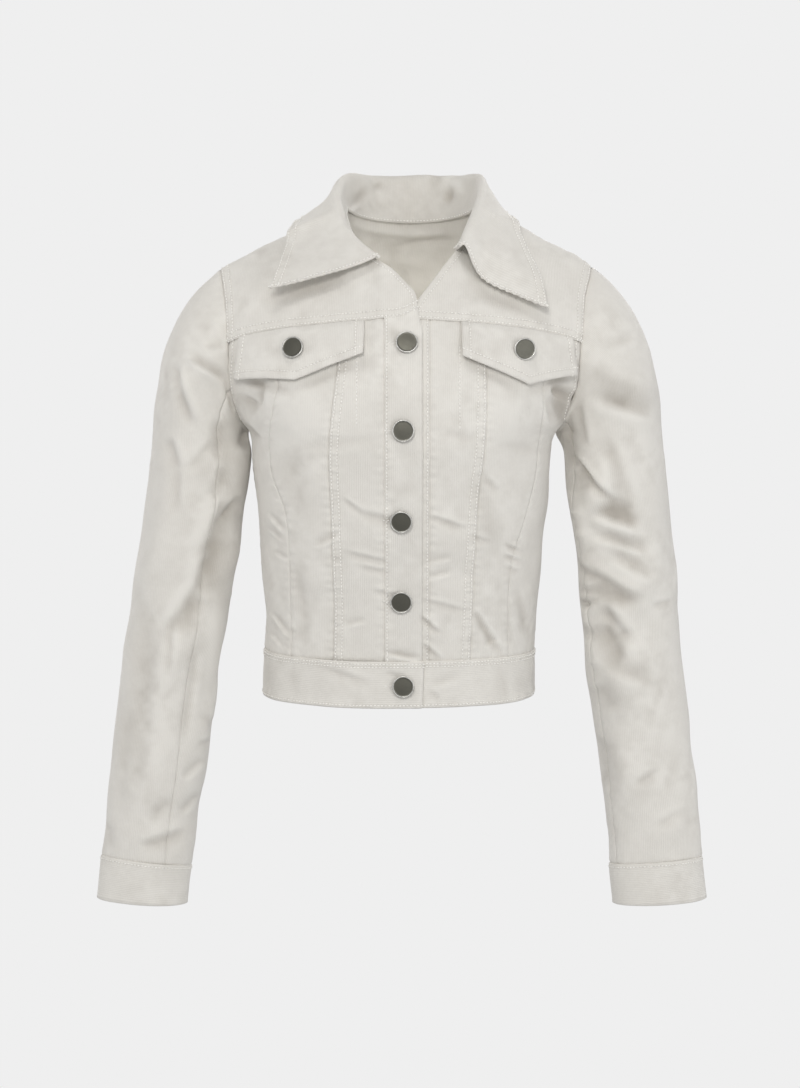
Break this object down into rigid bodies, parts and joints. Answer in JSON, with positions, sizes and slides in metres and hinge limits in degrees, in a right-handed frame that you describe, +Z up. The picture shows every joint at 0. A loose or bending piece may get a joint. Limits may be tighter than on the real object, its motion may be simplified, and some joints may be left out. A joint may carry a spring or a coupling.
{
  "type": "corduroy jacket",
  "caption": "Cropped corduroy jacket in off-white, filled out and hollow, with a turned collar, chest flaps, buttoned front, waistband and cuffed sleeves.",
  "frame": {"origin": "on the shoulder line, midway between the two points where the neckline crosses the shoulders", "axes": "+Z up along the wearer's spine, -Y to the wearer's front, +X to the wearer's left"},
  "size_m": [0.5767, 0.2393, 0.6841],
  "materials": {
    "corduroy": "fine ribbed cotton, matte, off-white",
    "button_metal": "dark satin metal with a brighter rim"
  },
  "bodies": {
    "root": {"right_yoke": "corduroy", "right_front_centre": "corduroy", "right_front_middle": "corduroy", "right_front_side": "corduroy", "right_pocket_flap": "corduroy", "right_upper_sleeve": "corduroy", "right_under_sleeve": "corduroy", "right_cuff": "corduroy", "left_yoke": "corduroy", "left_front_centre": "corduroy", "left_front_middle": "corduroy", "left_front_side": "corduroy", "left_pocket_flap": "corduroy", "left_upper_sleeve": "corduroy", "left_under_sleeve": "corduroy", "left_cuff": "corduroy", "button_band": "corduroy", "buttonhole_band": "corduroy", "back": "corduroy", "waistband": "corduroy", "collar": "corduroy", "right_flap_button": "button_metal", "left_flap_button": "button_metal", "button_1": "button_metal", "button_2": "button_metal", "button_3": "button_metal", "button_4": "button_metal", "button_waistband": "button_metal"}
  },
  "joints": []
}
